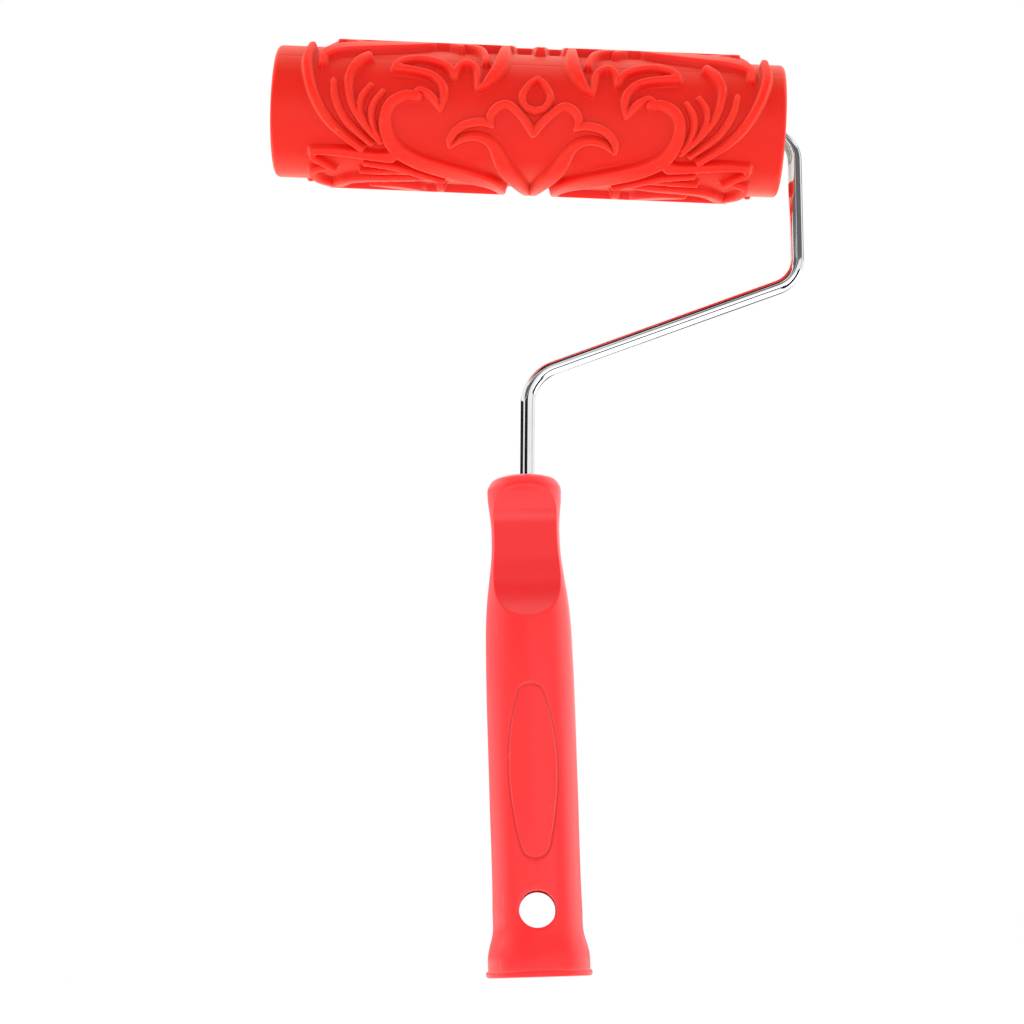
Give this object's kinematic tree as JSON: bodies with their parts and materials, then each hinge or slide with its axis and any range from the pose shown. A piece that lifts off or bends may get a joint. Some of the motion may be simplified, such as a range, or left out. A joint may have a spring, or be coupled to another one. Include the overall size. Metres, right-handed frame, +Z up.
{
  "type": "textured pattern roller",
  "caption": "Hand pattern roller: ornamented rubber sleeve on a plastic core, turning on a bent chrome-plated rod held in a moulded handle.",
  "frame": {"origin": "centre of the handle's foot, at the mouth of the pole socket", "axes": "+Z up along the handle's axis, +X along the roller towards the side that carries the rod's leg, -Y towards the front, where the thumb dish is"},
  "size_m": [0.1861, 0.052, 0.3276],
  "materials": {
    "handle_plastic": "moulded, soft gloss",
    "plated_rod": "bright plated",
    "sleeve_rubber": "moulded, satin",
    "core_plastic": "extruded",
    "cap_plastic": "moulded",
    "washer_plastic": "stamped",
    "spring_steel": "plated"
  },
  "bodies": {
    "hand_frame": {"handle": "handle_plastic", "frame_wire": "plated_rod", "push_nut": "spring_steel"},
    "roller": {"pattern_sleeve": "sleeve_rubber", "core_tube": "core_plastic", "end_cap_arm": "cap_plastic", "end_cap_free": "cap_plastic"},
    "thrust_washer_arm": {"washer_arm": "washer_plastic"},
    "thrust_washer_free": {"washer_free": "washer_plastic"}
  },
  "joints": [
    {"name": "roller_spin", "type": "hinge", "parent": "hand_frame", "child": "roller", "pos_m": [0.00568, 0, 0.29606], "axis": [0.9971, 0, -0.0762], "continuous": true},
    {"name": "washer_arm_spin", "type": "hinge", "parent": "hand_frame", "child": "thrust_washer_arm", "pos_m": [0.0834, 0, 0.29012], "axis": [0.9971, 0, -0.0762], "continuous": true},
    {"name": "washer_free_spin", "type": "hinge", "parent": "hand_frame", "child": "thrust_washer_free", "pos_m": [-0.07204, 0, 0.302], "axis": [0.9971, 0, -0.0762], "continuous": true}
  ]
}
